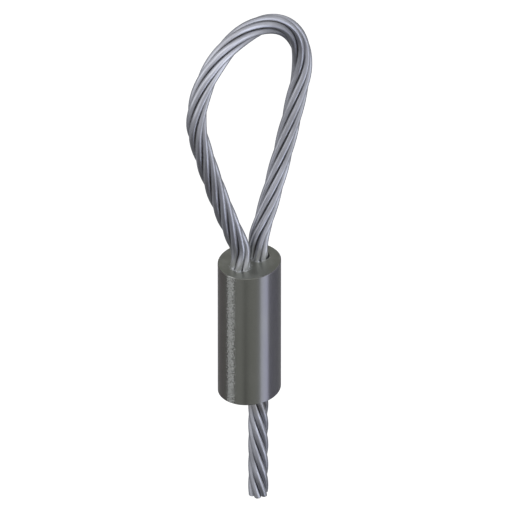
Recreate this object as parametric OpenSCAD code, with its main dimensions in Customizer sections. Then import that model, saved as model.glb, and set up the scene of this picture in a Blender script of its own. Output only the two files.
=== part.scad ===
// Soft eye of wire rope, held by a plain oval sleeve with two bores.
// The rope goes in at the dead end, up through one bore, round the eye, down through the other
// bore and out as the tail. The origin is at the centre of the sleeve's lower face, +Z points
// from there to the eye, and the eye lies in the XZ plane. Sizes are in millimetres.

/* [Rope] */
// Diameter over the outer strands
rope_d = 6.15; // [4:0.05:9]
// How many outer strands are laid round the core strand
strand_count = 6; // [5:1:8]
// Length of rope in which a strand goes once round, in the eye (right-hand lay)
eye_lay_l = 66.5; // [50:0.1:100]
// The same length in the tail
tail_lay_l = 45; // [38:0.5:80]
// Hand of the tail's lay
tail_hand = -1; // [-1:Left, 1:Right]
// Where the first strand stands round the live leg at the sleeve's upper face, in degrees
first_strand_angle = 32; // [0:1:72]
// Gap between neighbouring strands at their closest
strand_gap = 0.03; // [0.02:0.01:0.1]

/* [Eye] */
// Widest opening of the eye, inside the rope
eye_w = 38.6; // [34:0.1:60]
// Inside length of the eye, from the sleeve's upper face to the crown
eye_l = 81.2; // [70:0.1:130]
// Bend of each leg above the sleeve, to the rope's centreline
entry_bend_r = 12; // [9:0.1:20]
// Straight rise of each leg out of the sleeve, before that bend
leg_rise = 4.4; // [1:0.1:8]
// Slight outward bow of each leg between that bend and the crown, to the rope's centreline
leg_bow_r = 400; // [200:10:1000]

/* [Tail] */
// Length of the tail below the sleeve
tail_l = 41.4; // [10:0.1:100]
// How far above the sleeve's lower face the dead end stops
dead_end_recess = 1; // [0.2:0.1:8]

/* [Sleeve] */
// Length of the sleeve
sleeve_l = 46.6; // [30:0.1:70]
// Metal outside each bore's mouth, at the narrow ends of the oval
sleeve_wall = 2.75; // [1.2:0.05:5]
// How much nearer the axis the broad sides are than the narrow ends
sleeve_flat = 1; // [0.2:0.05:1.2]
// How far from the axis the centre of each narrow end's arc lies
end_centre_x = 1.7; // [1.4:0.05:3]
// Metal left between the two mouths
mouth_web = 0.55; // [0.4:0.05:4]
// Radial clearance of the rope in its bore
bore_gap = 0.03; // [0.02:0.01:0.08]
// How much wider than the rope each mouth is, on the radius
mouth_relief = 0.45; // [0.2:0.05:1]
// How deep each mouth tapers into the bore
mouth_depth = 2; // [0.5:0.1:4]
// Edge break round both ends of the sleeve
edge_break = 0.2; // [0.1:0.05:0.8]
// Depth below the upper face at which the lay changes over to the tail's
change_depth = 24; // [12:0.1:30]
// Length of rope over which it changes
change_l = 12; // [6:0.5:20]

/* [Hidden] */
$fn = 96;

// Finish of the drawing: flats round a strand, and the most rope between two of its rings
strand_flats = 8;
ring_step = 2.8;

steel_grey = [0.35, 0.35, 0.33];
wire_grey = [0.62, 0.65, 0.70];
over = 1; // how far a cut runs past the face that it opens

// Sleeve and its bores
bore_d = rope_d + 2 * bore_gap;
mouth_d = rope_d + 2 * mouth_relief;
leg_x = (mouth_d + mouth_web) / 2;

// Oval of the sleeve: two narrow ends and two broad sides, arcs that run smoothly into one another
half_w = leg_x + mouth_d / 2 + sleeve_wall;
half_t = half_w - sleeve_flat;
end_r = half_w - end_centre_x;
side_centre_y = (pow(end_centre_x, 2) - pow(half_t - end_r, 2)) / (2 * (half_t - end_r));
side_r = half_t + side_centre_y;
join_x = end_centre_x * side_r / (side_r - end_r);

// Eye: entry bend, bowed leg and crown are arcs that touch. Their centres make a triangle.
crown_r = (eye_w + rope_d) / 2;
crown_z = sleeve_l + eye_l + rope_d / 2 - crown_r;
bend_x = leg_x + entry_bend_r;
bend_z = sleeve_l + leg_rise;
bend_to_crown = norm([bend_x, crown_z - bend_z]);
bend_to_bow = leg_bow_r + entry_bend_r;
crown_to_bow = leg_bow_r - crown_r;
entry_lean = atan2(crown_z - bend_z, bend_x) - corner(bend_to_crown, bend_to_bow, crown_to_bow);
bow_angle = corner(bend_to_bow, crown_to_bow, bend_to_crown);

// Angle between sides a and b of a triangle whose third side is c
function corner(a, b, c) = acos((a * a + b * b - c * c) / (2 * a * b));

// Route of the rope: stretches as [length, curvature], positive where it turns towards +X
function arc_l(radius, angle) = radius * angle * PI / 180;
dead_hold_l = sleeve_l - dead_end_recess + leg_rise;
ROUTE = [
    [dead_hold_l, 0],
    [arc_l(entry_bend_r, entry_lean), -1 / entry_bend_r],
    [arc_l(leg_bow_r, bow_angle), 1 / leg_bow_r],
    [arc_l(crown_r, 180 + 2 * (entry_lean - bow_angle)), 1 / crown_r],
    [arc_l(leg_bow_r, bow_angle), 1 / leg_bow_r],
    [arc_l(entry_bend_r, entry_lean), -1 / entry_bend_r],
    [leg_rise + sleeve_l + tail_l, 0]
];
ROUTE_START = [-leg_x, dead_end_recess, 0]; // x, z and heading from +Z, in degrees
STRETCHES = len(ROUTE);

// A state on the route, moved on by a length at one curvature
function moved_on(state, length, bend) =
    let (turn = bend * length * 180 / PI, heading = state[2])
    bend == 0
        ? [state[0] + length * sin(heading), state[1] + length * cos(heading), heading]
        : [state[0] + (cos(heading) - cos(heading + turn)) / bend,
           state[1] + (sin(heading + turn) - sin(heading)) / bend,
           heading + turn];

stretch_state = [
    for (i = 0, state = ROUTE_START; i < STRETCHES;
         state = moved_on(state, ROUTE[i][0], ROUTE[i][1]), i = i + 1) state
];
stretch_from = [
    for (i = 0, run = 0; i <= STRETCHES; run = i < STRETCHES ? run + ROUTE[i][0] : run, i = i + 1) run
];

// Stations along the rope: [run from the dead end, state, curvature]
function station(i, run) =
    let (bend = ROUTE[i][1])
    [stretch_from[i] + run, moved_on(stretch_state[i], run, bend), bend];
STATIONS = concat(
    [for (i = [0 : STRETCHES - 1])
        let (steps = ceil(ROUTE[i][0] / ring_step))
        for (k = [0 : steps - 1]) station(i, ROUTE[i][0] * k / steps)],
    [station(STRETCHES - 1, ROUTE[STRETCHES - 1][0])]
);
LAST = len(STATIONS) - 1;

// Lay: how far a strand has turned round the core at a run, and how fast it turns there
live_run = stretch_from[STRETCHES - 1] + leg_rise;
change_run = live_run + change_depth - change_l / 2;
eye_rate = 360 / eye_lay_l;
tail_rate = tail_hand * 360 / tail_lay_l;
function share_changed(run) = max(0, min(1, (run - change_run) / change_l));
function run_changed(run) =
    run < change_run ? 0
    : run > change_run + change_l ? run - change_run - change_l / 2
    : pow(run - change_run, 2) / (2 * change_l);
function lay_angle(run) =
    first_strand_angle + eye_rate * (run - live_run) + (tail_rate - eye_rate) * run_changed(run);
function lay_rate(run) = eye_rate + (tail_rate - eye_rate) * share_changed(run);

// Strands: as thick as lets neighbours lie side by side where the lay is steepest
half_step = 180 / strand_count;
rough_lay_r = rope_d / (2 * (1 + sin(half_step)));
steepest_lay = min(tail_lay_l, eye_lay_l * (1 - rough_lay_r / min(entry_bend_r, crown_r)));
closeness = cos(atan(2 * PI * rough_lay_r * cos(half_step) / steepest_lay)) * sin(half_step);
strand_d = (rope_d * closeness - strand_gap) / (1 + closeness);
lay_r = (rope_d - strand_d) / 2;
core_d = 2 * lay_r - strand_d - 2 * strand_gap;

// One ring of a strand at a station. radius 0 is the core. A cut ring is square to the rope.
function strand_ring(at, radius, angle, thickness, cut) =
    let (
        heading = at[1][2],
        centreline = [at[1][0], 0, at[1][1]],
        ahead = [sin(heading), 0, cos(heading)],
        side = [cos(heading), 0, -sin(heading)],
        across = [0, 1, 0],
        out = cos(angle) * side + sin(angle) * across,
        round_it = cos(angle) * across - sin(angle) * side,
        centre = centreline + radius * out,
        run_on = (1 - at[2] * radius * cos(angle)) * ahead
            + radius * lay_rate(at[0]) * PI / 180 * round_it,
        along = run_on / norm(run_on),
        beside = cross(along, out)
    )
    [for (k = [0 : strand_flats - 1])
        let (
            a = 360 * k / strand_flats,
            spoke = thickness / 2 * (cos(a) * out + sin(a) * beside)
        )
        centre + spoke - (cut ? along * (spoke * ahead) / (along * ahead) : [0, 0, 0])];

// A closed tube through rings of equal count
module tube(rings) {
    n = len(rings[0]);
    last = len(rings) - 1;
    polyhedron(
        points = [for (ring = rings) each ring],
        faces = concat(
            [[for (k = [0 : n - 1]) k]],
            [for (i = [0 : last - 1], k = [0 : n - 1])
                let (a = i * n + k, b = i * n + (k + 1) % n)
                each [[a, a + n, b + n], [a, b + n, b]]],
            [[for (k = [n - 1 : -1 : 0]) last * n + k]]
        )
    );
}

module sleeve() {
    color(steel_grey)
    difference() {
        sleeve_blank();
        for (x = [-leg_x, leg_x]) translate([x, 0, 0]) rope_bore();
    }
}

// Oval bar: an end bar round each bore, and the broad sides between them
module sleeve_blank() {
    for (x = [-end_centre_x, end_centre_x]) translate([x, 0, 0]) round_bar(end_r);
    intersection() {
        translate([0, -side_centre_y, 0]) round_bar(side_r);
        translate([0, side_centre_y, 0]) round_bar(side_r);
        translate([-join_x, -side_r, 0]) cube([2 * join_x, 2 * side_r, sleeve_l]);
    }
}

// Round bar as long as the sleeve, with both rims broken
module round_bar(r) {
    rotate_extrude()
    polygon([
        [0, 0], [r - edge_break, 0], [r, edge_break],
        [r, sleeve_l - edge_break], [r - edge_break, sleeve_l], [0, sleeve_l]
    ]);
}

// One bore through the sleeve, tapered open at both mouths
module rope_bore() {
    slope = (mouth_d - bore_d) / mouth_depth;
    translate([0, 0, -over]) cylinder(d = bore_d, h = sleeve_l + 2 * over);
    for (end = [0, 1])
        translate([0, 0, end * sleeve_l]) mirror([0, 0, end])
        translate([0, 0, -over])
        cylinder(d1 = mouth_d + over * slope, d2 = bore_d, h = mouth_depth + over);
}

module core_strand() {
    color(wire_grey)
    tube([for (i = [0 : LAST]) strand_ring(STATIONS[i], 0, 0, core_d, false)]);
}

// Outer strand number i, from 1
module outer_strand(i) {
    color(wire_grey)
    tube([for (k = [0 : LAST])
        let (at = STATIONS[k], angle = lay_angle(at[0]) + 360 * (i - 1) / strand_count)
        strand_ring(at, lay_r, angle, strand_d, k == 0 || k == LAST)]);
}

sleeve();
core_strand();
for (i = [1 : strand_count])
    outer_strand(i);
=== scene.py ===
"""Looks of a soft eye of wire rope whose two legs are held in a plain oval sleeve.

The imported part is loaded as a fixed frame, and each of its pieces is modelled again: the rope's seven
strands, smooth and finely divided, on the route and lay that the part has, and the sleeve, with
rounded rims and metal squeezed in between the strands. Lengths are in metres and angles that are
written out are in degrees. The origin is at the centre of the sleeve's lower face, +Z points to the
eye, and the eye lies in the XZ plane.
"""

import logging
import math
from dataclasses import dataclass, field
from enum import Enum

import bmesh
import bpy
from mathutils import Matrix, Vector


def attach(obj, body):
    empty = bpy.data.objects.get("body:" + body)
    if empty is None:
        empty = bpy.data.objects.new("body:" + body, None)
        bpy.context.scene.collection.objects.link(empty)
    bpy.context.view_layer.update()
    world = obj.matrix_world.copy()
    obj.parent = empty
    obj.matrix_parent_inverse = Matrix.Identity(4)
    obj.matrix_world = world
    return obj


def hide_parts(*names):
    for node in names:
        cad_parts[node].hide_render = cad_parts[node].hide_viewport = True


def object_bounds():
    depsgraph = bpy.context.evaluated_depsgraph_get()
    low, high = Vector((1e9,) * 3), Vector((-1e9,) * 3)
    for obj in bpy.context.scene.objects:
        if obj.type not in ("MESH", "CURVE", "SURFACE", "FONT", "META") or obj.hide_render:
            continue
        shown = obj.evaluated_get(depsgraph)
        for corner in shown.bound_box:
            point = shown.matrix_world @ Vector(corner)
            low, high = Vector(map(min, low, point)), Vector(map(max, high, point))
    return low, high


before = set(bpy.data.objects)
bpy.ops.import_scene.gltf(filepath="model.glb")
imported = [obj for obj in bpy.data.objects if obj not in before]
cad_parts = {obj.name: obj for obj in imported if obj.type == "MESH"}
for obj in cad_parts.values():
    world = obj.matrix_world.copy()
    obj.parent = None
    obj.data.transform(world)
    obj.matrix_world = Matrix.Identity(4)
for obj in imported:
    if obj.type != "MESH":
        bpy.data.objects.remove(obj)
CAD_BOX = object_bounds()

LOG = logging.getLogger("wire_rope_eye")
MM = 0.001
SLEEVE_L = 46.6 * MM
LEG_X = 3.8 * MM
ACROSS = Vector((0.0, 1.0, 0.0))
MIDDLE = (0.3, 0.7)  # what a noise mostly lies between

Colour = tuple[float, float, float, float]
Pair = tuple[float, float]
Triple = tuple[float, float, float]
Thing = bpy.types.Object
Finish = bpy.types.Material
Socket = bpy.types.NodeSocket
Feed = Socket | Colour | float
Shape = bmesh.types.BMesh
Point = bmesh.types.BMVert
Edge = bmesh.types.BMEdge
Layer = bmesh.types.BMLayerItem


def put(name: str, data: bpy.types.ID) -> Thing:
    """Puts an object in the scene.

    Args:
        name: Its name.
        data: Its mesh, light or camera.

    Returns:
        The object.
    """
    made = bpy.data.objects.new(name, data)
    bpy.context.scene.collection.objects.link(made)
    return made


def modelled(name: str, bm: Shape, finishes: tuple[Finish, ...] = ()) -> Thing:
    """Puts a modelled shape in the scene.

    Args:
        name: Name of the object and its mesh.
        bm: The shape, which is freed.
        finishes: Its materials, in the order that its faces count them.

    Returns:
        The object.
    """
    mesh = bpy.data.meshes.new(name)
    bm.to_mesh(mesh)
    bm.free()
    for finish in finishes:
        mesh.materials.append(finish)
    return put(name, mesh)


def grow(bm: Shape, edges: list[Edge]) -> tuple[list[Point], list[Edge]]:
    """Starts a band of faces from a ring of edges, which its far side lies on until it is moved.

    Args:
        bm: Mesh that the ring is in.
        edges: Edges of the ring.

    Returns:
        Points and edges of the band's far side.
    """
    grown = bmesh.ops.extrude_edge_only(bm, edges=edges)["geom"]
    ring = [part for part in grown if isinstance(part, Point)]
    return ring, [part for part in grown if isinstance(part, Edge)]


def round_off(bm: Shape, rims: list[Edge], radius: float, steps: int) -> None:
    """Rounds sharp edges.

    Args:
        bm: Mesh that they are in.
        rims: The edges.
        radius: How far back from them the rounding starts.
        steps: Flats of the rounding.
    """
    bmesh.ops.bevel(
        bm, geom=rims, offset=radius, segments=steps, profile=0.5, affect="EDGES", material=-1
    )


# -------------------- route and lay of the rope


@dataclass(frozen=True)
class Station:
    """A place on the rope's centreline.

    Attributes:
        run: Length of rope from the dead end to here.
        point: The place itself.
        heading: Direction of the rope, turned from +Z towards +X, in radians.
        bend: Curvature, positive where the rope turns towards +X.
    """

    run: float
    point: Vector
    heading: float
    bend: float

    @property
    def ahead(self) -> Vector:
        """Unit vector along the rope."""
        return Vector((math.sin(self.heading), 0.0, math.cos(self.heading)))

    @property
    def side(self) -> Vector:
        """Unit vector square to the rope, in the plane of the eye."""
        return Vector((math.cos(self.heading), 0.0, -math.sin(self.heading)))

    def moved_on(self, length: float, bend: float) -> "Station":
        """Follows the rope from here at one curvature.

        Args:
            length: Length of rope to follow.
            bend: Curvature of that length.

        Returns:
            The station reached.
        """
        if bend == 0:
            return Station(self.run + length, self.point + length * self.ahead, self.heading, bend)
        after = self.heading + bend * length
        step_x = (math.cos(self.heading) - math.cos(after)) / bend
        step_z = (math.sin(after) - math.sin(self.heading)) / bend
        return Station(self.run + length, self.point + Vector((step_x, 0.0, step_z)), after, bend)


def angle_at(a: float, b: float, c: float) -> float:
    """Finds an angle of a triangle.

    Args:
        a: One side that meets there.
        b: The other side that meets there.
        c: The side across from it.

    Returns:
        The angle, in radians.
    """
    return math.acos((a * a + b * b - c * c) / (2 * a * b))


@dataclass(frozen=True)
class EyeRoute:
    """Centreline of the rope: dead end, sleeve, eye, sleeve again and tail.

    Attributes:
        rope_d: Diameter over the outer strands.
        sleeve_l: Length of the sleeve.
        leg_x: Distance of each bore from the sleeve's axis.
        eye_w: Widest opening of the eye, inside the rope.
        eye_l: Inside length of the eye, from the sleeve to the crown.
        entry_bend_r: Bend of each leg above the sleeve.
        leg_rise: Straight rise of each leg before that bend.
        leg_bow_r: Slight outward bow of each leg between that bend and the crown.
        tail_l: Length of the tail below the sleeve.
        dead_end_recess: How far above the sleeve's lower face the dead end stops.
    """

    rope_d: float = 6.15 * MM
    sleeve_l: float = SLEEVE_L
    leg_x: float = LEG_X
    eye_w: float = 38.6 * MM
    eye_l: float = 81.2 * MM
    entry_bend_r: float = 12.0 * MM
    leg_rise: float = 4.4 * MM
    leg_bow_r: float = 400.0 * MM
    tail_l: float = 41.4 * MM
    dead_end_recess: float = 1.0 * MM

    @property
    def crown_r(self) -> float:
        """Radius of the crown, to the rope's centreline."""
        return (self.eye_w + self.rope_d) / 2

    def stretches(self) -> list[Pair]:
        """Works out the stretches of the route.

        Entry bend, bowed leg and crown are arcs that touch, so their centres make a triangle.

        Returns:
            Length and curvature of each stretch, from the dead end to the end of the tail.
        """
        crown_z = self.sleeve_l + self.eye_l + self.rope_d / 2 - self.crown_r
        bend_x, bend_z = self.leg_x + self.entry_bend_r, self.sleeve_l + self.leg_rise
        bend_to_crown = math.hypot(bend_x, crown_z - bend_z)
        bend_to_bow = self.leg_bow_r + self.entry_bend_r
        crown_to_bow = self.leg_bow_r - self.crown_r
        lean = math.atan2(crown_z - bend_z, bend_x) - angle_at(bend_to_crown, bend_to_bow, crown_to_bow)
        bow = angle_at(bend_to_bow, crown_to_bow, bend_to_crown)
        entry = (self.entry_bend_r * lean, -1 / self.entry_bend_r)
        leg = (self.leg_bow_r * bow, 1 / self.leg_bow_r)
        crown = (self.crown_r * (math.pi + 2 * (lean - bow)), 1 / self.crown_r)
        dead_leg = (self.sleeve_l - self.dead_end_recess + self.leg_rise, 0.0)
        live_leg = (self.leg_rise + self.sleeve_l + self.tail_l, 0.0)
        return [dead_leg, entry, leg, crown, leg, entry, live_leg]

    @property
    def length(self) -> float:
        """Length of the rope from the dead end to the end of the tail."""
        return sum(length for length, _ in self.stretches())

    @property
    def live_run(self) -> float:
        """Run at which the live leg enters the sleeve's upper face."""
        return self.length - self.tail_l - self.sleeve_l

    def stations(self, step: float, spare: float) -> list[Station]:
        """Places stations along the rope.

        Args:
            step: Most rope between two stations.
            spare: How far the first and last lie past the rope's ends.

        Returns:
            The stations, from the dead end to the end of the tail.
        """
        start = Station(0.0, Vector((-self.leg_x, 0.0, self.dead_end_recess)), 0.0, 0.0)
        found = [start.moved_on(-spare, 0.0)]
        for length, bend in self.stretches():
            count = math.ceil(length / step)
            found += [start.moved_on(length * k / count, bend) for k in range(count)]
            start = start.moved_on(length, bend)
        return found + [start, start.moved_on(spare, 0.0)]


@dataclass(frozen=True)
class Lay:
    """How the outer strands turn round the core along the rope.

    Attributes:
        live_run: Run at which the live leg enters the sleeve's upper face.
        eye_lay_l: Length of rope for one turn in the eye, right-hand.
        tail_lay_l: The same in the tail, negative for left-hand.
        first_angle: Where the first strand stands at that face, in degrees.
        change_depth: Depth below that face at which the lay changes over.
        change_l: Length of rope over which it changes.
    """

    live_run: float
    eye_lay_l: float = 66.5 * MM
    tail_lay_l: float = -45.0 * MM
    first_angle: float = 32.0
    change_depth: float = 24.75 * MM
    change_l: float = 12.0 * MM

    def turning(self, run: float) -> Pair:
        """Finds the lay at a place on the rope.

        Args:
            run: Length of rope from the dead end.

        Returns:
            The first strand's angle in radians, and how fast it turns, in radians a metre.
        """
        eye_rate, tail_rate = math.tau / self.eye_lay_l, math.tau / self.tail_lay_l
        into = run - (self.live_run + self.change_depth - self.change_l / 2)
        share = max(0.0, min(1.0, into / self.change_l))
        changed = share * into / 2 if share < 1 else into - self.change_l / 2
        angle = math.radians(self.first_angle) + eye_rate * (run - self.live_run)
        return angle + (tail_rate - eye_rate) * changed, eye_rate + (tail_rate - eye_rate) * share


# -------------------- finishes


class Slot(Enum):
    """Material slots of the record."""

    SLEEVE = "sleeve_steel"
    STRAND = "strand_steel"


@dataclass(frozen=True)
class Marks:
    """Marks that a noise leaves on a finish.

    Attributes:
        per_mm: How many there are for each millimetre along X, Y and Z.
        detail: Octaves of finer noise.
        roughness: Strength of each finer octave.
        shown: Noise at which a mark starts, and at which it is full.
        share: How much of the finish a full mark covers.
        height: How far the marks stand out.
    """

    per_mm: Triple
    detail: float = 2.0
    roughness: float = 0.5
    shown: Pair = MIDDLE
    share: float = 1.0
    height: float = 0.0


class Nodes:
    """A node tree, with short ways to add and join its nodes."""

    def __init__(self, tree: bpy.types.NodeTree) -> None:
        """Starts from a tree.

        Args:
            tree: The tree.
        """
        self.tree = tree

    def add(
        self, kind: str, feeds: dict[str | int, Feed] | None = None, **settings: str
    ) -> bpy.types.Node:
        """Adds a node.

        Args:
            kind: Its type.
            feeds: Output or constant for each of its inputs, by the input's name or number.
            **settings: Properties to set on it.

        Returns:
            The node.
        """
        node = self.tree.nodes.new(kind)
        for name, value in settings.items():
            setattr(node, name, value)
        for name, source in (feeds or {}).items():
            self.feed(source, node.inputs[name])
        return node

    def feed(self, source: Feed, target: Socket) -> None:
        """Joins an output to an input, or writes a constant there.

        Args:
            source: The output or constant.
            target: The input.
        """
        if isinstance(source, Socket):
            self.tree.links.new(source, target)
        else:
            target.default_value = source

    def math(self, operation: str, a: Socket, b: Feed = 0.0) -> Socket:
        """Joins two values by a Math node.

        Args:
            operation: What it does.
            a: First value.
            b: Second value, or a number.

        Returns:
            The result.
        """
        return self.add("ShaderNodeMath", {0: a, 1: b}, operation=operation).outputs["Value"]


class Sheet(Nodes):
    """The nodes of one material."""

    def __init__(self, name: str) -> None:
        """Starts a material.

        Args:
            name: Name of the material.
        """
        self.material = bpy.data.materials.new(name)
        self.material.use_nodes = True
        super().__init__(self.material.node_tree)
        self.shader = self.tree.nodes["Principled BSDF"]

    def place(self) -> Socket:
        """Gives the place on the piece, in metres."""
        return self.add("ShaderNodeTexCoord").outputs["Object"]

    def parts(self, vector: Socket) -> tuple[Socket, Socket, Socket]:
        """Splits a vector.

        Args:
            vector: The vector.

        Returns:
            Its X, Y and Z.
        """
        found = self.add("ShaderNodeSeparateXYZ", {"Vector": vector}).outputs
        return found["X"], found["Y"], found["Z"]

    def scaled(self, source: Socket, per_mm: Triple) -> Socket:
        """Scales a coordinate for a texture.

        Args:
            source: A coordinate in metres.
            per_mm: Texture units for each millimetre along X, Y and Z.

        Returns:
            The scaled coordinate.
        """
        scale = [each / MM for each in per_mm]
        return self.add("ShaderNodeMapping", {"Vector": source, "Scale": scale}).outputs["Vector"]

    def noise(self, source: Socket, marks: Marks) -> Socket:
        """Adds the noise of some marks.

        Args:
            source: A coordinate in metres.
            marks: The marks.

        Returns:
            Its value, from 0 to 1.
        """
        feeds = {"Scale": 1.0, "Detail": marks.detail, "Roughness": marks.roughness}
        feeds["Vector"] = self.scaled(source, marks.per_mm)
        return self.add("ShaderNodeTexNoise", feeds).outputs["Fac"]

    def range(self, value: Socket, source: Pair, target: Pair = (0.0, 1.0)) -> Socket:
        """Maps a value smoothly from one range to another, clamped.

        Args:
            value: The value.
            source: Its low and high.
            target: What they become.

        Returns:
            The mapped value.
        """
        feeds = {"Value": value, "From Min": source[0], "From Max": source[1]}
        feeds |= {"To Min": target[0], "To Max": target[1]}
        node = self.add("ShaderNodeMapRange", feeds, interpolation_type="SMOOTHSTEP")
        return node.outputs["Result"]

    def mix(self, share: Socket, a: Feed, b: Feed) -> Socket:
        """Mixes two colours.

        Args:
            share: How much of b there is.
            a: First colour.
            b: Second colour.

        Returns:
            The mixed colour.
        """
        return self.add("ShaderNodeMix", {0: share, 6: a, 7: b}, data_type="RGBA").outputs[2]

    def marked(self, steel: Feed, noise: Socket, marks: Marks, colour: Colour) -> Socket:
        """Lays marks of another colour on a colour.

        Args:
            steel: The colour that they lie on.
            noise: Noise of the marks.
            marks: The marks.
            colour: Their colour.

        Returns:
            The marked colour.
        """
        return self.mix(self.range(noise, marks.shown, (0.0, marks.share)), steel, colour)

    def bump(self, height: Socket, depth: float) -> None:
        """Makes the surface rise and fall with a value, over any bump it already has.

        Args:
            height: The value, from 0 to 1.
            depth: Height of 1, in metres.
        """
        node = self.add("ShaderNodeBump", {"Distance": depth, "Height": height})
        before = self.shader.inputs["Normal"]
        if before.is_linked:
            self.feed(before.links[0].from_socket, node.inputs["Normal"])
        self.feed(node.outputs["Normal"], before)

    def metal(self, colour: Socket, roughness: Socket, tint: float = 1.0) -> None:
        """Makes the surface fully metallic.

        Args:
            colour: Its colour.
            roughness: Its roughness.
            tint: How bright it is where it is seen edge-on.
        """
        self.feed(colour, self.shader.inputs["Base Color"])
        self.feed(roughness, self.shader.inputs["Roughness"])
        self.shader.inputs["Metallic"].default_value = 1.0
        self.shader.inputs["Specular Tint"].default_value = (*[tint] * 3, 1.0)


@dataclass(frozen=True)
class PaintedBand:
    """Painted light and shade: a band over a strand near one height, which thins out above and below
    it.

    Attributes:
        colour: Its colour.
        share: How much of the strand it covers at most.
        height: Height at which it is thickest.
        reach: How far from there it ends.
        full: Part of that distance over which it stays thickest.
    """

    colour: Colour
    share: float
    height: float
    reach: float
    full: float = 0.2


@dataclass(frozen=True)
class DrawnSteel:
    """Satin bluish steel of the strands, with dull metal and painted shade between strands.

    Attributes:
        strand_r: Radius of the strand that the finish goes round.
        clean: Colour of the rubbed crown of a strand.
        dull: Colour of the duller marks.
        groove_shade: Painted shade: an olive tone deep between two strands, where shade falls.
        groove_shade_at: Where that starts and where it is full, outward from the strand's centre, in
            radii.
        foot_highlight: Painted highlight: lighter metal at the feet of the legs, by the sleeve's upper
            face.
        sleeve_shadow: Painted shadow of the sleeve on the tail, just under its lower face.
        roughness: Roughness of the crown, and of the grooves.
        streaked: Noise of the lines over which the roughness changes.
        streak_roughness: What the lines add to it.
        tint: How bright the steel is where it is seen edge-on.
        patches: Broad dull patches.
        lines: Long lines left by drawing.
        scratches: Fine scratches along the strand.
        grain: Faint unevenness of the surface.
    """

    strand_r: float
    clean: Colour = (0.398, 0.409, 0.460, 1.0)
    dull: Colour = (0.262, 0.266, 0.292, 1.0)
    groove_shade: Colour = (0.420, 0.405, 0.345, 1.0)
    groove_shade_at: Pair = (0.15, -0.45)
    # Painted highlight at the feet of the legs.
    foot_highlight: PaintedBand = PaintedBand((0.580, 0.590, 0.620, 1.0), 0.80, SLEEVE_L, 6.0 * MM)
    # Painted shadow of the sleeve on the tail.
    sleeve_shadow: PaintedBand = PaintedBand((0.200, 0.195, 0.190, 1.0), 0.60, -7.0 * MM, 4.5 * MM)
    roughness: Pair = (0.35, 0.50)
    streaked: Pair = (0.30, 0.65)
    streak_roughness: Pair = (-0.07, 0.06)
    tint: float = 0.8
    patches: Marks = Marks((0.5, 0.5, 0.10), shown=(0.35, 0.75), share=0.8)
    lines: Marks = Marks((2.2, 2.2, 0.06), shown=(0.40, 0.75), share=0.6, height=0.006 * MM)
    scratches: Marks = Marks((7.0, 7.0, 0.25), 3.0, 0.6, (0.48, 0.72), 0.5, 0.006 * MM)
    grain: Marks = Marks((1.6, 1.6, 0.7), 2.0, 0.6, height=0.015 * MM)

    def material(self) -> Finish:
        """Makes the finish.

        Returns:
            The material.
        """
        sheet = Sheet("drawn_steel")
        wound = sheet.add(
            "ShaderNodeAttribute", attribute_type="GEOMETRY", attribute_name=Strand.WOUND
        ).outputs["Vector"]
        marks = (self.patches, self.lines, self.scratches, self.grain)
        patches, lines, scratches, grain = (sheet.noise(wound, each) for each in marks)

        steel = sheet.marked(self.clean, patches, self.patches, self.dull)
        steel = sheet.marked(steel, lines, self.lines, self.dull)
        steel = sheet.marked(steel, scratches, self.scratches, self.dull)
        _, _, height = sheet.parts(sheet.place())
        # Painted light and shade by height: a highlight at the feet of the legs, and a shadow on the
        # tail under the sleeve.
        for painted_band in (self.foot_highlight, self.sleeve_shadow):
            off = sheet.math("ABSOLUTE", sheet.math("SUBTRACT", height, painted_band.height))
            cover = sheet.range(off, (painted_band.full * painted_band.reach, painted_band.reach), (painted_band.share, 0.0))
            steel = sheet.mix(cover, steel, painted_band.colour)
        # Painted shade: an olive tone deep between the strands, where shade falls.
        outward, _, _ = sheet.parts(wound)
        depth = sheet.range(sheet.math("DIVIDE", outward, self.strand_r), self.groove_shade_at)
        steel = sheet.mix(depth, steel, self.groove_shade)

        base = sheet.range(depth, (0.0, 1.0), self.roughness)
        streaks = sheet.range(lines, self.streaked, self.streak_roughness)
        sheet.metal(steel, sheet.math("ADD", base, streaks), self.tint)
        sheet.bump(lines, self.lines.height)
        sheet.bump(scratches, self.scratches.height)
        sheet.bump(grain, self.grain.height)
        return sheet.material


@dataclass(frozen=True)
class SawnSteel:
    """Bright sawn ends of the strands.

    Attributes:
        bright: Colour of the fresh cut.
        smeared: Colour of the smeared streaks.
        roughness: Roughness of the cut, and of the streaks.
        strokes: Strokes of the saw.
    """

    bright: Colour = (0.40, 0.43, 0.49, 1.0)
    smeared: Colour = (0.26, 0.27, 0.31, 1.0)
    roughness: Pair = (0.38, 0.52)
    strokes: Marks = Marks((1.2, 14.0, 1.0), 3.0, shown=(0.35, 0.65), height=0.02 * MM)

    def material(self) -> Finish:
        """Makes the finish.

        Returns:
            The material.
        """
        sheet = Sheet("sawn_steel")
        strokes = sheet.noise(sheet.place(), self.strokes)
        steel = sheet.marked(self.bright, strokes, self.strokes, self.smeared)
        sheet.metal(steel, sheet.range(strokes, MIDDLE, self.roughness))
        sheet.bump(strokes, self.strokes.height)
        return sheet.material


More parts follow.
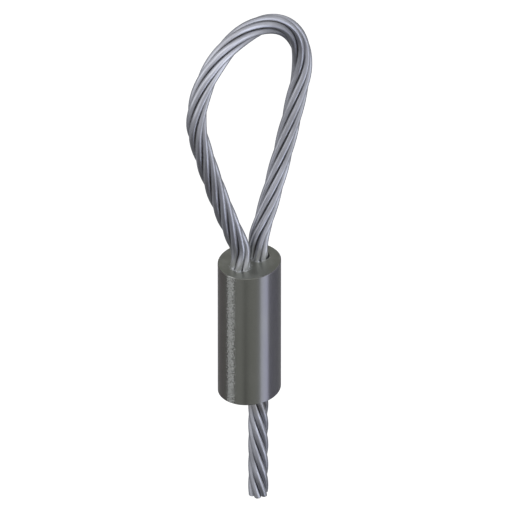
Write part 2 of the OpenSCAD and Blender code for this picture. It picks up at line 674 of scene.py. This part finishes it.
@dataclass(frozen=True)
class DarkBarSteel:
    """Dark drawn skin of the sleeve's wall, with painted tints and a painted highlight down each narrow
    end.

    Attributes:
        skin: Colour of the skin.
        worn: Colour where it is rubbed thin.
        cool_light_tint: Painted tint of the light: bluish towards one broad side, the one that the cool
            lamps light.
        cool_light_tint_at: Where that starts and where it is full, as X less Y.
        warm_shade_tint: Painted tint of the shade: brownish towards the other broad side, away from
            those lamps.
        warm_shade_tint_at: Where that starts and where it is full, as X less Y.
        strip: Colour of the strips, lighter than the skin: a painted highlight.
        strip_y: Middle of a strip, across the oval.
        strip_edge: Distance from there at which a strip starts, and at which it is full.
        ragged: How far the scrapes move that edge.
        even_share: How much of a strip's painted highlight lies between the scrapes.
        roughness: Least and most roughness of the skin.
        strip_roughness: What a strip adds to it.
        tint: How bright the steel is where it is seen edge-on.
        blotches: Broad worn blotches.
        lines: Long lines left by drawing.
        grain: Faint unevenness of the gloss.
        scrapes: Scrapes of the grinding, in the strips.
    """

    skin: Colour = (0.139, 0.142, 0.128, 1.0)
    worn: Colour = (0.175, 0.178, 0.168, 1.0)
    cool_light_tint: Colour = (0.145, 0.143, 0.168, 1.0)
    cool_light_tint_at: Pair = (1.6 * MM, 9.6 * MM)
    warm_shade_tint: Colour = (0.132, 0.122, 0.117, 1.0)
    warm_shade_tint_at: Pair = (-7.2 * MM, -12.0 * MM)
    strip: Colour = (0.465, 0.475, 0.465, 1.0)
    strip_y: float = -1.83 * MM
    strip_edge: Pair = (1.75 * MM, 0.35 * MM)
    ragged: Pair = (0.45 * MM, -0.45 * MM)
    even_share: float = 0.45
    roughness: Pair = (0.20, 0.26)
    strip_roughness: float = 0.08
    tint: float = 0.7
    blotches: Marks = Marks((0.16, 0.16, 0.07), shown=(0.4, 0.75), share=0.25)
    lines: Marks = Marks((3.0, 3.0, 0.02), 3.0, 0.6, (0.45, 0.8), 0.18, 0.004 * MM)
    grain: Marks = Marks((3.0, 3.0, 3.0), shown=(0.2, 0.8))
    scrapes: Marks = Marks((2.1, 2.1, 2.1), 3.0, 0.6, (0.38, 0.62), height=0.050 * MM)

    def material(self) -> Finish:
        """Makes the finish.

        Returns:
            The material.
        """
        sheet = Sheet("dark_bar_steel")
        place = sheet.place()
        marks = (self.blotches, self.lines, self.grain, self.scrapes)
        blotches, lines, grain, scrapes = (sheet.noise(place, each) for each in marks)

        x, y, _ = sheet.parts(place)
        lean = sheet.math("SUBTRACT", x, y)
        # Painted tints of the light: bluish on the side that the cool lamps light, brownish on the
        # other.
        steel = sheet.mix(sheet.range(lean, self.cool_light_tint_at), self.skin, self.cool_light_tint)
        steel = sheet.mix(sheet.range(lean, self.warm_shade_tint_at), steel, self.warm_shade_tint)
        steel = sheet.marked(steel, blotches, self.blotches, self.worn)
        steel = sheet.marked(steel, lines, self.lines, self.worn)

        # A scraped strip down each narrow end: rougher, and painted lighter as a highlight.
        off = sheet.math("ABSOLUTE", sheet.math("SUBTRACT", y, self.strip_y))
        off = sheet.math("ADD", off, sheet.range(scrapes, MIDDLE, self.ragged))
        ground_and_highlight = sheet.range(off, self.strip_edge)
        cut = sheet.math("MULTIPLY", ground_and_highlight, sheet.range(scrapes, self.scrapes.shown))
        even = sheet.math("MULTIPLY", ground_and_highlight, self.even_share)
        highlight_share = sheet.math("ADD", even, sheet.math("MULTIPLY", cut, 1 - self.even_share))
        steel = sheet.mix(highlight_share, steel, self.strip)

        gloss = sheet.range(grain, self.grain.shown, self.roughness)
        dulled = sheet.range(ground_and_highlight, (0.0, 1.0), (0.0, self.strip_roughness))
        sheet.metal(steel, sheet.math("ADD", gloss, dulled), self.tint)
        sheet.bump(lines, self.lines.height)
        sheet.bump(cut, self.scrapes.height)
        return sheet.material


@dataclass(frozen=True)
class FacedSteel:
    """Faced ends of the sleeve: the same dark steel, with faint turning marks and painted light.

    Attributes:
        skin: Colour of the skin, lighter than the wall's: partly fresh faced steel, partly painted
            light.
        worn: Colour where it is rubbed.
        leg_reflection: Painted reflection of the strands: a lighter colour round each leg.
        leg_x: Distance of each leg from the sleeve's axis.
        leg_reflection_r: Radius round a leg at which that painted reflection starts, and at which it is
            brightest.
        smeared: How far a noise moves that radius.
        roughness: Roughness of the face, least and most.
        ring_scale: How close the turning marks lie.
        ring_wobble: How uneven they are.
        ring_detail: Octaves of that unevenness.
        ring_height: How far they stand out.
        blotches: Broad worn blotches.
        reflection_edge_noise: Noise that makes the edge of that painted reflection uneven.
    """

    skin: Colour = (0.220, 0.225, 0.198, 1.0)
    worn: Colour = (0.275, 0.280, 0.258, 1.0)
    leg_reflection: Colour = (0.520, 0.530, 0.530, 1.0)
    leg_x: float = LEG_X
    leg_reflection_r: Pair = (4.1 * MM, 2.9 * MM)
    smeared: Pair = (0.0, 0.8 * MM)
    roughness: Pair = (0.34, 0.44)
    ring_scale: float = 2.0
    ring_wobble: float = 3.0
    ring_detail: float = 2.0
    ring_height: float = 0.001 * MM
    blotches: Marks = Marks((0.35, 0.35, 0.35), 3.0, shown=(0.40, 0.75), share=0.6)
    reflection_edge_noise: Marks = Marks((1.4, 1.4, 1.4))

    def material(self) -> Finish:
        """Makes the finish.

        Returns:
            The material.
        """
        sheet = Sheet("faced_steel")
        place = sheet.place()
        blotches = sheet.noise(place, self.blotches)
        reflection_edge_noise = sheet.noise(place, self.reflection_edge_noise)
        # The faces' skin is lighter than the wall's: partly fresh faced steel, partly painted light.
        steel = sheet.marked(self.skin, blotches, self.blotches, self.worn)

        # Painted reflection of the strands: a lighter ring round each leg, its edge made uneven by a
        # noise.
        x, y, _ = sheet.parts(place)
        beside = sheet.math("SUBTRACT", sheet.math("ABSOLUTE", x), self.leg_x)
        square = sheet.math("ADD", sheet.math("POWER", beside, 2.0), sheet.math("POWER", y, 2.0))
        smeared = sheet.range(reflection_edge_noise, self.reflection_edge_noise.shown, self.smeared)
        near = sheet.math("ADD", sheet.math("POWER", square, 0.5), smeared)
        steel = sheet.mix(sheet.range(near, self.leg_reflection_r), steel, self.leg_reflection)
        sheet.metal(steel, sheet.range(blotches, MIDDLE, self.roughness))

        feeds = {"Scale": self.ring_scale, "Distortion": self.ring_wobble, "Detail": self.ring_detail}
        feeds["Vector"] = sheet.scaled(place, (1.0, 1.0, 1.0))
        rings = sheet.add("ShaderNodeTexWave", feeds, wave_type="RINGS", rings_direction="Z")
        sheet.bump(rings.outputs["Fac"], self.ring_height)
        return sheet.material


# -------------------- the rope


@dataclass
class Strand:
    """One strand: a round bar carried along the rope, cut square at both ends.

    Attributes:
        name: Name of the piece.
        node: CAD node that it stands for.
        diameter: Thickness of the strand.
        lay_r: Distance of its centre from the rope's centreline.
        place: Its angle after the first strand, in degrees.
        sides: Flats round the strand.
        step: Most rope between two rings.
        spare: How far it is made past the cuts.
        cut_round: Rounding of the cut edges.
        cut_steps: Flats of that rounding.
        touching: Distance at which a point counts as on a cut.
    """

    name: str
    node: str
    diameter: float
    lay_r: float = 0.0
    place: float = 0.0
    sides: int = 24
    step: float = 0.7 * MM
    spare: float = 0.5 * MM
    cut_round: float = 0.10 * MM
    cut_steps: int = 3
    touching: float = 0.0001 * MM

    WOUND = "wound"

    def socket(self, station: Station, lay: Lay) -> Matrix:
        """Finds where the strand's section lies at a station.

        Args:
            station: The station.
            lay: Lay of the rope.

        Returns:
            A frame whose X points away from the rope's centreline and whose Z runs along the strand.
        """
        angle, rate = lay.turning(station.run)
        angle += math.radians(self.place)
        out = math.cos(angle) * station.side + math.sin(angle) * ACROSS
        round_it = math.cos(angle) * ACROSS - math.sin(angle) * station.side
        stretch = 1 - station.bend * self.lay_r * math.cos(angle)
        along = (stretch * station.ahead + self.lay_r * rate * round_it).normalized()
        turned = Matrix((out, along.cross(out), along)).transposed().to_4x4()
        return Matrix.Translation(station.point + self.lay_r * out) @ turned

    def build(self, route: EyeRoute, lay: Lay, finishes: tuple[Finish, ...]) -> Thing:
        """Models the strand and puts it in the scene.

        Args:
            route: Centreline of the rope.
            lay: Lay of the rope.
            finishes: Materials of its round wall and of its cut ends.

        Returns:
            The finished piece.
        """
        bm = bmesh.new()
        wound = bm.verts.layers.float_vector.new(self.WOUND)
        stations = route.stations(self.step, self.spare)
        sockets = [self.socket(station, lay) for station in stations]
        ring = bmesh.ops.create_circle(
            bm, segments=self.sides, radius=self.diameter / 2, matrix=sockets[0]
        )["verts"]
        edges = list(bm.edges)
        self.mark(ring, wound, sockets[0], stations[0].run)
        for before, socket, station in zip(sockets, sockets[1:], stations[1:]):
            ring, edges = grow(bm, edges)
            bmesh.ops.transform(bm, matrix=socket @ before.inverted(), verts=ring)
            self.mark(ring, wound, socket, station.run)
        for at, outward in ((stations[1], -1.0), (stations[-2], 1.0)):
            self.cut(bm, wound, at, outward * at.ahead)
        bmesh.ops.recalc_face_normals(bm, faces=bm.faces)
        for face in bm.faces:
            face.smooth = face.material_index == 0
        piece = modelled(self.name, bm, finishes)
        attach(piece, "root")
        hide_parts(self.node)
        return piece

    def mark(self, ring: list[Point], layer: Layer, socket: Matrix, run: float) -> None:
        """Writes on a ring's points where they lie on the strand, had it been straight.

        Args:
            ring: The points.
            layer: Layer to write on.
            socket: Frame of the ring.
            run: Its distance along the rope.
        """
        back = socket.inverted()
        for vert in ring:
            local = back @ vert.co
            vert[layer] = Vector((local.x, local.y, run))

    def cut(self, bm: Shape, layer: Layer, at: Station, outward: Vector) -> None:
        """Cuts the strand square to the rope, and closes and rounds the cut.

        Args:
            bm: The strand.
            layer: Layer that tells how far along the rope each point is.
            at: Where the cut is.
            outward: Direction of the side that is cut away.
        """
        near = self.diameter + self.spare
        faces = [face for face in bm.faces if abs(face.verts[0][layer].z - at.run) < near]
        geometry = list({part for face in faces for part in (face, *face.edges, *face.verts)})
        made = bmesh.ops.bisect_plane(
            bm, geom=geometry, plane_co=at.point, plane_no=outward, clear_outer=True, dist=self.touching
        )["geom_cut"]
        rim = [part for part in made if isinstance(part, Edge)]
        cap = bmesh.ops.contextual_create(bm, geom=rim)["faces"]
        for face in cap:
            face.material_index = 1
        round_off(bm, rim, self.cut_round, self.cut_steps)


@dataclass
class Rope:
    """The rope: a straight core strand with the outer strands laid round it.

    Attributes:
        route: Its centreline.
        strand_count: How many outer strands there are.
        strand_d: Thickness of an outer strand.
        strand_gap: Gap between two strands that lie side by side.
    """

    route: EyeRoute = field(default_factory=EyeRoute)
    strand_count: int = 6
    strand_d: float = 1.989 * MM
    strand_gap: float = 0.03 * MM

    def build(self) -> list[Thing]:
        """Models every strand.

        Returns:
            The pieces.
        """
        lay = Lay(self.route.live_run)
        lay_r = (self.route.rope_d - self.strand_d) / 2
        core_d = 2 * lay_r - self.strand_d - 2 * self.strand_gap
        finishes = (DrawnSteel(self.strand_d / 2).material(), SawnSteel().material())
        strands = [Strand("rope_core", "core_strand", core_d)]
        for number in range(self.strand_count):
            place = 360 * number / self.strand_count
            label = f"strand_{number + 1}"
            strands.append(Strand(f"rope_{label}", label, self.strand_d, lay_r, place))
        return [strand.build(self.route, lay, finishes) for strand in strands]


# -------------------- the sleeve


@dataclass
class Sleeve:
    """The sleeve: an oval bar with two bores, its rims rounded.

    Attributes:
        node: CAD node that it stands for.
        length: Its length.
        half_w: Half its width.
        half_t: Half its thickness.
        end_centre_x: Distance of the centre of each narrow end from the axis.
        leg_x: Distance of each bore from the axis.
        bore_r: Radius of each bore, less than the rope's, as the squeezed metal fills the valleys.
        worn_r: Radius of the worn part of the live bore's upper mouth.
        worn_shift: How far that part lies off the bore, along X and Y.
        worn_depth: How deep that wear goes.
        dead_mouth_r: Radius of the lower mouth that the dead end stops short in.
        dead_mouth_l: How deep that mouth is.
        rim: Rounding of the outer rims.
        rim_steps: Flats of that rounding.
        sharp: Angle over which an edge counts as a rim, in radians.
        arc_steps: Flats of each of the four arcs.
        wall_rings: Rings that the wall has between its rims.
        bore_sides: Flats round a bore.
        touching: Distance at which two points of the outline are one.
    """

    node: str = "sleeve"
    length: float = SLEEVE_L
    half_w: float = 10.075 * MM
    half_t: float = 9.075 * MM
    end_centre_x: float = 1.7 * MM
    leg_x: float = LEG_X
    bore_r: float = 2.45 * MM
    worn_r: float = 2.82 * MM
    worn_shift: Pair = (0.67 * MM, -0.18 * MM)
    worn_depth: float = 3.0 * MM
    dead_mouth_r: float = 3.105 * MM
    dead_mouth_l: float = 1.6 * MM
    rim: float = 0.15 * MM
    rim_steps: int = 4
    sharp: float = 1.0
    arc_steps: int = 28
    wall_rings: int = 6
    bore_sides: int = 72
    touching: float = 0.001 * MM

    def outline(self, bm: Shape) -> list[Edge]:
        """Draws the oval of four touching arcs, at the lower face.

        Args:
            bm: Mesh to draw in.

        Returns:
            Its edges.
        """
        at = self.end_centre_x
        end_r = self.half_w - at
        drop = self.half_t - end_r
        side_y = (at**2 - drop**2) / (2 * drop)
        turn = math.atan2(side_y, at)
        start = (at + end_r * math.cos(turn), -end_r * math.sin(turn), 0.0)
        last = bmesh.ops.create_vert(bm, co=start)["vert"]
        arcs = (((at, 0.0), 2 * turn), ((0.0, -side_y), math.pi - 2 * turn))
        arcs += (((-at, 0.0), 2 * turn), ((0.0, side_y), math.pi - 2 * turn))
        for (centre_x, centre_y), angle in arcs:
            last = bmesh.ops.spin(
                bm,
                geom=last,
                cent=(centre_x, centre_y, 0.0),
                axis=(0.0, 0.0, 1.0),
                angle=angle,
                steps=self.arc_steps,
            )["geom_last"]
        bmesh.ops.remove_doubles(bm, verts=bm.verts, dist=self.touching)
        return list(bm.edges)

    def bar(self) -> Shape:
        """Models the bar without its bores.

        Returns:
            The bar.
        """
        bm = bmesh.new()
        edges = self.outline(bm)
        bmesh.ops.contextual_create(bm, geom=edges)
        hold = 2 * self.rim  # leaves room for the rounding beside each flat end
        wall_rise = (self.length - 2 * hold) / self.wall_rings
        for rise in (hold, *[wall_rise] * self.wall_rings, hold):
            ring, edges = grow(bm, edges)
            bmesh.ops.translate(bm, vec=(0.0, 0.0, rise), verts=ring)
        bmesh.ops.contextual_create(bm, geom=edges)
        bmesh.ops.recalc_face_normals(bm, faces=bm.faces)
        rims = [edge for edge in bm.edges if edge.calc_face_angle(0.0) > self.sharp]
        round_off(bm, rims, self.rim, self.rim_steps)
        for face in bm.faces:
            cap = len(face.verts) > 4  # the two flat ends have more sides
            face.smooth = not cap
            face.material_index = int(cap)
        return bm

    def cutters(self) -> Shape:
        """Models what the bores take away.

        Returns:
            The cutters, joined.
        """
        bm = bmesh.new()
        over = 1.0 * MM
        through = (-over, self.length + over)
        self.pin(bm, (-self.leg_x, 0.0), self.bore_r, through)
        self.pin(bm, (self.leg_x, 0.0), self.bore_r, through)
        self.pin(bm, (-self.leg_x, 0.0), self.dead_mouth_r, (-over, self.dead_mouth_l))
        worn_at = (self.leg_x + self.worn_shift[0], self.worn_shift[1])
        self.pin(bm, worn_at, self.worn_r, (self.length - self.worn_depth, self.length + over))
        return bm

    def pin(self, bm: Shape, at: Pair, radius: float, z: Pair) -> None:
        """Adds an upright round pin.

        Args:
            bm: Mesh to add it to.
            at: Where it stands, along X and Y.
            radius: Its radius.
            z: Heights of its two ends.
        """
        bmesh.ops.create_cone(
            bm,
            cap_ends=True,
            segments=self.bore_sides,
            radius1=radius,
            radius2=radius,
            depth=z[1] - z[0],
            matrix=Matrix.Translation((*at, (z[0] + z[1]) / 2)),
        )

    def build(self) -> Thing:
        """Models the sleeve and puts it in the scene.

        Returns:
            The finished piece.
        """
        finishes = (DarkBarSteel().material(), FacedSteel().material())
        sleeve = modelled("pressed_sleeve", self.bar(), finishes)
        cutters = modelled("bore_cutters", self.cutters())
        bores = sleeve.modifiers.new("bores", "BOOLEAN")
        bores.operation, bores.object, bores.solver = "DIFFERENCE", cutters, "EXACT"
        bores.use_self = True
        bpy.context.view_layer.update()
        bored = sleeve.evaluated_get(bpy.context.evaluated_depsgraph_get())
        mesh = bpy.data.meshes.new_from_object(bored)
        sleeve.modifiers.clear()
        sleeve.data = mesh
        bpy.data.objects.remove(cutters)
        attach(sleeve, "root")
        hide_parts(self.node)
        return sleeve


# -------------------- the studio


def standing(azimuth: float, elevation: float, distance: float, target: Vector) -> Matrix:
    """Finds where something that faces the object stands.

    Args:
        azimuth: Degrees round from the front of the part (-Y) towards +X.
        elevation: Degrees above the horizon.
        distance: How far off it is.
        target: What it faces.

    Returns:
        A frame there, whose Z points away from the target.
    """
    turn, rise = math.radians(azimuth), math.radians(elevation)
    back = Vector((math.sin(turn) * math.cos(rise), -math.cos(turn) * math.cos(rise), math.sin(rise)))
    turned = back.to_track_quat("Z", "Y").to_matrix().to_4x4()
    return Matrix.Translation(target + back * distance) @ turned


@dataclass(frozen=True)
class Panel:
    """A flat panel that faces the object.

    Attributes:
        name: Its name.
        azimuth: Where it stands, in degrees round from the front of the part (-Y) towards +X.
        elevation: Its height above the horizon, in degrees.
        distance: How far off it is.
        width: Its width.
        height: Its height.
    """

    name: str
    azimuth: float
    elevation: float
    distance: float
    width: float
    height: float


@dataclass(frozen=True)
class Lamp(Panel):
    """A soft panel of light.

    Attributes:
        power: Its power, in watts.
        colour: Its colour.
    """

    power: float
    colour: Triple = (1.0, 1.0, 1.0)

    def build(self, target: Vector) -> None:
        """Puts the lamp in the scene.

        Args:
            target: What it faces.
        """
        data = bpy.data.lights.new(self.name, "AREA")
        data.shape = "RECTANGLE"
        data.size, data.size_y = self.width, self.height
        data.energy = self.power
        data.color = self.colour
        lamp = put(self.name, data)
        place = standing(self.azimuth, self.elevation, self.distance, target)
        lamp.location, lamp.rotation_euler = place.translation, place.to_euler()
        lamp.visible_camera = False


@dataclass(frozen=True)
class Card(Panel):
    """A dark card that only reflections see, to draw the edges of bright metal.

    Attributes:
        shade: How light it is.
    """

    shade: float = 0.25

    def build(self, target: Vector) -> None:
        """Puts the card in the scene.

        Args:
            target: What it faces.
        """
        bm = bmesh.new()
        bmesh.ops.create_grid(bm, x_segments=1, y_segments=1, size=0.5)
        bmesh.ops.scale(bm, vec=(self.width, self.height, 1.0), verts=bm.verts)
        place = standing(self.azimuth, self.elevation, self.distance, target)
        bmesh.ops.transform(bm, matrix=place, verts=bm.verts)
        sheet = Sheet("dark_card")
        sheet.shader.inputs["Base Color"].default_value = (*[self.shade] * 3, 1.0)
        sheet.shader.inputs["Roughness"].default_value = 1.0
        card = modelled(self.name, bm, (sheet.material,))
        card.visible_camera = False
        card.visible_diffuse = False
        card.visible_transmission = False
        card.visible_shadow = False


@dataclass
class Studio:
    """Floor, light and camera.

    Attributes:
        azimuth: Where the camera stands, in degrees from the front of the part (-Y) towards +X.
        elevation: Its height, in degrees, for which all three axes show at the same scale.
        aim: What it looks at.
        view_w: Width of what it sees at the object.
        lens: Its focal length, long enough for a nearly parallel view, in millimetres.
        sensor_w: Width of its sensor, in millimetres.
        clip: Nearest and farthest that it sees.
        floor_drop: How far the floor lies below the object.
        floor_size: Side of the floor.
        floor_shade: How light the floor is.
        floor_roughness: Roughness of the floor.
        floor_lift: Light that the floor adds to look white: seen straight, and in metal.
        sky_light: Strength at which the sky lights things.
    """

    azimuth: float = -45.0
    elevation: float = math.degrees(math.atan(1 / math.sqrt(2)))
    aim: Vector = field(default_factory=lambda: Vector((1.92, -0.90, 47.96)) * MM)
    view_w: float = 154.06 * MM
    lens: float = 1600.0
    sensor_w: float = 36.0
    clip: Pair = (0.01, 100.0)
    floor_drop: float = 0.80
    floor_size: float = 12.0
    floor_shade: float = 0.8
    floor_roughness: float = 0.9
    floor_lift: Pair = (0.55, 0.25)
    sky_light: float = 0.60

    def build(self) -> None:
        """Builds the whole studio."""
        self.camera()
        self.floor()
        self.world()
        for light in (*self.lamps(), *self.cards()):
            light.build(self.aim)
        bpy.context.scene.view_settings.view_transform = "Standard"

    def camera(self) -> None:
        """Places the camera."""
        data = bpy.data.cameras.new("camera")
        data.sensor_width = self.sensor_w
        data.lens = self.lens
        distance = self.view_w * self.lens / self.sensor_w
        data.clip_start, data.clip_end = self.clip
        camera = put("camera", data)
        place = standing(self.azimuth, self.elevation, distance, self.aim)
        camera.location, camera.rotation_euler = place.translation, place.to_euler()
        bpy.context.scene.camera = camera

    def lamps(self) -> list[Lamp]:
        """Lists the lamps.

        Returns:
            The lamps, placed round the camera.
        """
        cool, cooler = (0.95, 0.99, 1.08), (0.94, 0.98, 1.15)
        return [
            Lamp("right_panel", self.azimuth + 61, 14, 1.0, 0.70, 1.10, 2.9, cool),
            Lamp("right_low_strip", self.azimuth + 64, -38, 0.9, 0.36, 0.60, 1.0, cooler),
            Lamp("left_panel", self.azimuth - 61, 18, 1.0, 0.62, 1.10, 1.8),
            Lamp("top_panel", self.azimuth - 10, 64, 1.2, 1.35, 1.25, 4.7),
        ]

    def cards(self) -> list[Card]:
        """Lists the dark cards.

        Returns:
            The cards, placed round the camera.
        """
        return [
            Card("low_card", self.azimuth, -90, 0.78, 1.55, 1.55),
            Card("right_card", self.azimuth + 135, -20, 0.8, 1.10, 0.90, 0.60),
            Card("left_card", self.azimuth - 135, -20, 0.8, 1.10, 0.90, 0.60),
            Card("left_low_card", self.azimuth - 80, -40, 0.9, 1.00, 0.80, 0.60),
            Card("back_card", self.azimuth + 180, 30, 1.0, 0.80, 0.90, 0.50),
        ]

    def floor(self) -> None:
        """Lays a pale floor, which the camera sees as white, and sees through from below."""
        bm = bmesh.new()
        bmesh.ops.create_grid(bm, x_segments=1, y_segments=1, size=self.floor_size / 2)
        low = CAD_BOX[0].z - self.floor_drop
        bmesh.ops.translate(bm, vec=(0.0, 0.0, low), verts=bm.verts)
        floor = modelled("floor", bm, (self.floor_finish(),))

    def floor_finish(self) -> Finish:
        """Makes the floor's finish.

        Returns:
            The material.
        """
        sheet = Sheet("pale_floor")
        sheet.shader.inputs["Base Color"].default_value = (*[self.floor_shade] * 3, 1.0)
        sheet.shader.inputs["Roughness"].default_value = self.floor_roughness
        rays = sheet.add("ShaderNodeLightPath").outputs
        straight = sheet.math("MAXIMUM", rays["Is Camera Ray"], rays["Is Transmission Ray"])
        straight = sheet.math("MULTIPLY", straight, self.floor_lift[0])
        mirrored = sheet.math("MULTIPLY", rays["Is Glossy Ray"], self.floor_lift[1])
        strength = sheet.math("MAXIMUM", straight, mirrored)
        lift = sheet.add("ShaderNodeEmission", {"Strength": strength}).outputs["Emission"]
        lifted = {0: sheet.shader.outputs["BSDF"], 1: lift}
        above = sheet.add("ShaderNodeAddShader", lifted).outputs["Shader"]
        clear = sheet.add("ShaderNodeBsdfTransparent").outputs["BSDF"]
        below = sheet.add("ShaderNodeNewGeometry").outputs["Backfacing"]
        both = sheet.add("ShaderNodeMixShader", {0: below, 1: above, 2: clear}).outputs["Shader"]
        sheet.feed(both, sheet.tree.nodes["Material Output"].inputs["Surface"])
        return sheet.material

    def world(self) -> None:
        """Sets an even sky, white where the camera, metal or glass sees it."""
        world = bpy.data.worlds.new("sky")
        bpy.context.scene.world = world
        world.use_nodes = True
        nodes = Nodes(world.node_tree)
        sky = nodes.tree.nodes["Background"]
        nodes.feed((1.0, 1.0, 1.0, 1.0), sky.inputs["Color"])
        rays = nodes.add("ShaderNodeLightPath").outputs
        seen = nodes.math("MAXIMUM", rays["Is Camera Ray"], rays["Is Glossy Ray"])
        seen = nodes.math("MAXIMUM", seen, rays["Is Transmission Ray"])
        feeds = {"Value": seen, "To Min": self.sky_light, "To Max": 1.0}
        nodes.feed(nodes.add("ShaderNodeMapRange", feeds).outputs["Result"], sky.inputs["Strength"])


def main() -> None:
    """Builds the studio, the rope and the sleeve."""
    logging.basicConfig(level=logging.INFO, format="%(message)s")
    Studio().build()
    for piece in (*Rope().build(), Sleeve().build()):
        LOG.info("%s: %d faces", piece.name, len(piece.data.polygons))


if __name__ == "__main__":
    main()
